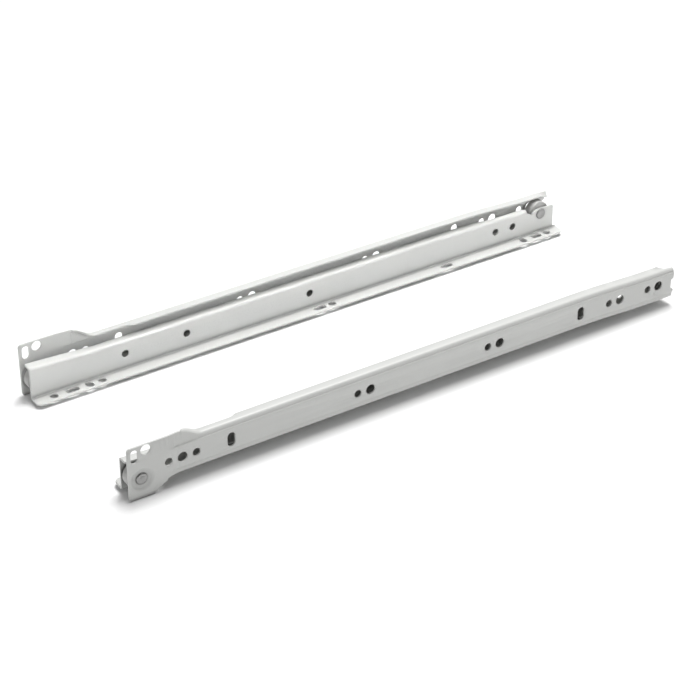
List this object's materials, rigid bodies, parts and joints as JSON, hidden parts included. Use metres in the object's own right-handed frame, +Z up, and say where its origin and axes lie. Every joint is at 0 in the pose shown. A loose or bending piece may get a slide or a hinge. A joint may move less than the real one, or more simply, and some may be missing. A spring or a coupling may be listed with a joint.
{
  "type": "roller drawer slide pair",
  "caption": "Matched left and right roller drawer slides: channel-shaped cabinet rails with front rollers, Z-shaped drawer rails with rear rollers, shown closed.",
  "frame": {"origin": "middle of the pair's footprint, at the lowest edge of the front plates", "axes": "+X from the left slide to the right slide, +Y towards the back of the cabinet, +Z up; the drawer pulls out along -Y"},
  "size_m": [0.1354, 0.402, 0.035],
  "materials": {
    "coated_steel": "satin pale grey powder coat",
    "nylon": "smooth off-white moulded nylon",
    "rivet_steel": "zinc plated"
  },
  "bodies": {
    "cabinet_rails": {"left_cabinet_member": "coated_steel", "left_front_axle": "rivet_steel", "right_cabinet_member": "coated_steel", "right_front_axle": "rivet_steel"},
    "left_drawer_rail": {"left_drawer_member": "coated_steel", "left_rear_axle": "rivet_steel"},
    "right_drawer_rail": {"right_drawer_member": "coated_steel", "right_rear_axle": "rivet_steel"},
    "left_front_wheel": {"left_front_roller": "nylon"},
    "right_front_wheel": {"right_front_roller": "nylon"},
    "left_rear_wheel": {"left_rear_roller": "nylon"},
    "right_rear_wheel": {"right_rear_roller": "nylon"}
  },
  "joints": [
    {"name": "left_drawer_travel", "type": "slide", "parent": "cabinet_rails", "child": "left_drawer_rail", "axis": [0, -1, 0], "range_m": [0, 0.3]},
    {"name": "right_drawer_travel", "type": "slide", "parent": "cabinet_rails", "child": "right_drawer_rail", "axis": [0, -1, 0], "range_m": [0, 0.3]},
    {"name": "left_front_spin", "type": "hinge", "parent": "cabinet_rails", "child": "left_front_wheel", "pos_m": [-0.062, -0.1921, 0.0124], "axis": [1, 0, 0], "continuous": true},
    {"name": "right_front_spin", "type": "hinge", "parent": "cabinet_rails", "child": "right_front_wheel", "pos_m": [0.062, -0.1921, 0.0124], "axis": [1, 0, 0], "continuous": true},
    {"name": "left_rear_spin", "type": "hinge", "parent": "left_drawer_rail", "child": "left_rear_wheel", "pos_m": [-0.0605, 0.1875, 0.0164], "axis": [1, 0, 0], "continuous": true},
    {"name": "right_rear_spin", "type": "hinge", "parent": "right_drawer_rail", "child": "right_rear_wheel", "pos_m": [0.0605, 0.1875, 0.0164], "axis": [1, 0, 0], "continuous": true}
  ],
  "couplings": [
    {"joint": "left_front_spin", "follows": "left_drawer_travel", "rad_per_m": 125},
    {"joint": "left_rear_spin", "follows": "left_drawer_travel", "rad_per_m": 125},
    {"joint": "right_front_spin", "follows": "right_drawer_travel", "rad_per_m": 125},
    {"joint": "right_rear_spin", "follows": "right_drawer_travel", "rad_per_m": 125}
  ]
}
